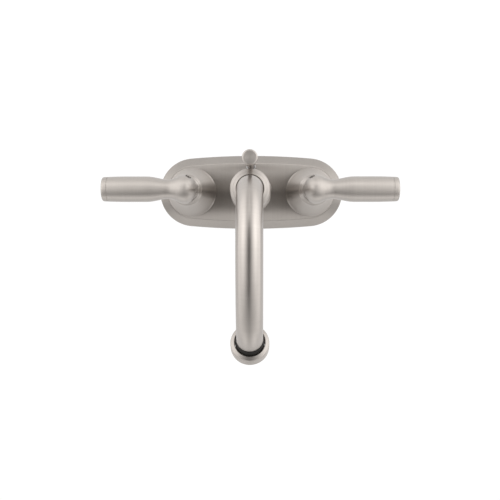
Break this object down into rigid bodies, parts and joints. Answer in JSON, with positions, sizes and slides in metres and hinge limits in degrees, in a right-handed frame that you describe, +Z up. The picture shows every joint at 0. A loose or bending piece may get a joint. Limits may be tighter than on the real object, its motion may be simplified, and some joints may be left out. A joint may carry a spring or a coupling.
{
  "type": "deck-mounted centerset basin faucet",
  "caption": "Deck-mounted basin faucet with an arched swivel spout, lever handles on bell-shaped bases, an oval base plate and a lift rod, all in brushed nickel.",
  "frame": {"origin": "centre of the base gasket's underside, on the deck's surface, between the two handles", "axes": "+Z up from the deck, +Y towards the wall behind the faucet, spout towards -Y, handles along X"},
  "size_m": [0.23, 0.1647, 0.2254],
  "materials": {
    "brushed_nickel": "brushed",
    "brass": "machined",
    "steel": "zinc plated",
    "black_rubber": "matt",
    "white_plastic": "moulded",
    "grey_plastic": "moulded",
    "ceramic": "lapped"
  },
  "bodies": {
    "base": {"base_plate": "brushed_nickel", "base_gasket": "black_rubber", "waterway_body": "brass", "shank_left": "brass", "shank_right": "brass", "mounting_washer_left": "steel", "mounting_washer_right": "steel", "mounting_nut_left": "grey_plastic", "mounting_nut_right": "grey_plastic", "seat_seal_left": "black_rubber", "seat_seal_right": "black_rubber", "fixed_disc_left": "ceramic", "fixed_disc_right": "ceramic", "cartridge_body_left": "white_plastic", "cartridge_body_right": "white_plastic", "bonnet_nut_left": "brass", "bonnet_nut_right": "brass", "handle_bell_left": "brushed_nickel", "handle_bell_right": "brushed_nickel", "spout_column": "brushed_nickel", "swivel_bush": "white_plastic", "spout_gland_nut": "brass", "lift_rod_guide": "grey_plastic"},
    "left_handle": {"handle_lever_left": "brushed_nickel", "lever_end_cap_left": "brushed_nickel", "handle_collar_left": "brushed_nickel", "handle_set_screw_left": "steel", "cartridge_stem_left": "brass", "moving_disc_left": "ceramic"},
    "right_handle": {"handle_lever_right": "brushed_nickel", "lever_end_cap_right": "brushed_nickel", "handle_collar_right": "brushed_nickel", "handle_set_screw_right": "steel", "cartridge_stem_right": "brass", "moving_disc_right": "ceramic"},
    "spout": {"spout_tube": "brushed_nickel", "spout_stem": "brass", "spout_o_ring_1": "black_rubber", "spout_o_ring_2": "black_rubber", "outlet_nipple": "brass", "outlet_seal_ring": "black_rubber", "outlet_collar": "brushed_nickel", "aerator_washer": "black_rubber", "aerator_insert": "white_plastic", "aerator_screen": "steel"},
    "lift_rod": {"lift_rod": "brushed_nickel", "lift_rod_knob": "brushed_nickel"}
  },
  "joints": [
    {"name": "left_handle_turn", "type": "hinge", "parent": "base", "child": "left_handle", "pos_m": [-0.0508, 0, 0.078], "axis": [0, 0, 1], "range_deg": [0, 90]},
    {"name": "right_handle_turn", "type": "hinge", "parent": "base", "child": "right_handle", "pos_m": [0.0508, 0, 0.078], "axis": [0, 0, 1], "range_deg": [-90, 0]},
    {"name": "spout_swivel", "type": "hinge", "parent": "base", "child": "spout", "pos_m": [0, 0, 0.09], "axis": [0, 0, 1], "range_deg": [-60, 60]},
    {"name": "lift_rod_slide", "type": "slide", "parent": "base", "child": "lift_rod", "axis": [0, 0, 1], "range_m": [0, 0.03]}
  ]
}
